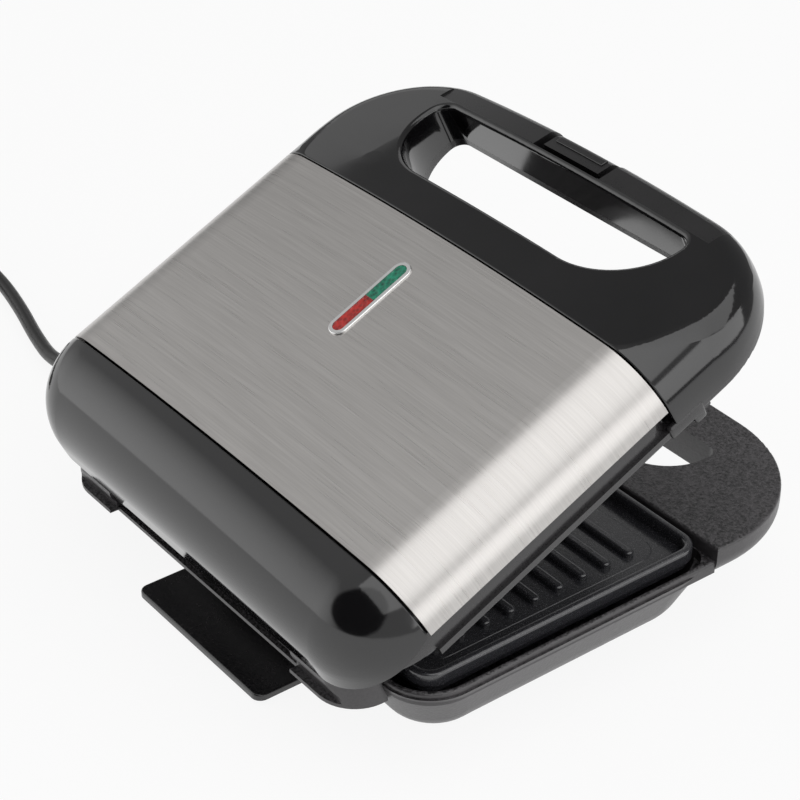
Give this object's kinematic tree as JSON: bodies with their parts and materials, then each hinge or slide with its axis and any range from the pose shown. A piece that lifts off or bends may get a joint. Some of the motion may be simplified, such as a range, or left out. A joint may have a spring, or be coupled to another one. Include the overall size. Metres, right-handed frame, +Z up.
{
  "type": "sandwich maker",
  "caption": "Hinged electric sandwich maker with ribbed non-stick plates, a steel-topped lid, a carry-handle latch, pilot lamps and a mains cord put away in a coil.",
  "frame": {"origin": "on the table, under the middle of the object with its lid standing open", "axes": "+Z up, +Y towards the hinge, -Y towards the handle, +X the side that the cord leaves"},
  "size_m": [0.495, 0.2422, 0.153],
  "materials": {
    "gloss_black": "polished black moulding",
    "satin_black": "fine-grained satin black moulding",
    "brushed_steel": "steel brushed along the hinge line",
    "nonstick": "cast aluminium with a dark non-stick coat",
    "bright_trim": "silvery bezel",
    "red_lens": "translucent red",
    "green_lens": "translucent green",
    "lamp_glass": "clear bulb",
    "black_rubber": "soft matt black",
    "plated_steel": "bright plated fasteners and pins",
    "sheet_metal": "plain folded sheet",
    "heater_sheath": "heat-darkened sheath",
    "board": "insulating board",
    "terminal": "pale moulded terminal",
    "lead_cover": "sleeved lead",
    "brass_pin": "nickelled brass"
  },
  "bodies": {
    "base": {"base_shell": "satin_black", "base_plate": "nonstick", "base_heater": "heater_sheath", "base_reflector": "sheet_metal", "base_plate_screws": "plated_steel", "thermostat": "sheet_metal", "thermal_fuse": "lead_cover", "terminal_block": "terminal", "base_leads": "lead_cover", "cord_wrap_plate": "satin_black", "cord_wrap_screws": "plated_steel", "front_feet": "black_rubber", "rear_feet": "black_rubber", "hinge_pins": "plated_steel", "cord_gland": "black_rubber", "cord_clamp": "board", "cord_clamp_screws": "plated_steel", "mains_cord": "black_rubber", "cord_coil": "black_rubber", "cord_tie": "black_rubber", "plug_body": "black_rubber", "plug_pins": "brass_pin"},
    "lid": {"lid_frame": "satin_black", "lid_steel_cover": "brushed_steel", "lid_handle": "gloss_black", "lid_back_cover": "gloss_black", "lid_plate": "nonstick", "lid_heater": "heater_sheath", "lid_reflector": "sheet_metal", "lid_plate_screws": "plated_steel", "handle_screws": "plated_steel", "cover_screws": "plated_steel", "lamp_bezel": "bright_trim", "green_lens": "green_lens", "red_lens": "red_lens", "green_lamp": "lamp_glass", "red_lamp": "lamp_glass", "lamp_holder": "board", "lid_leads": "lead_cover", "latch_pin": "plated_steel"},
    "latch": {"latch_clip": "gloss_black"}
  },
  "joints": [
    {"name": "lid_hinge", "type": "hinge", "parent": "base", "child": "lid", "pos_m": [0, 0.0977, 0.0385], "axis": [-1, 0, 0], "range_deg": [-24.9, 70]},
    {"name": "latch_pivot", "type": "hinge", "parent": "lid", "child": "latch", "pos_m": [0, -0.07566, 0.14598], "axis": [-1, 0, 0], "range_deg": [-8, 5]}
  ]
}
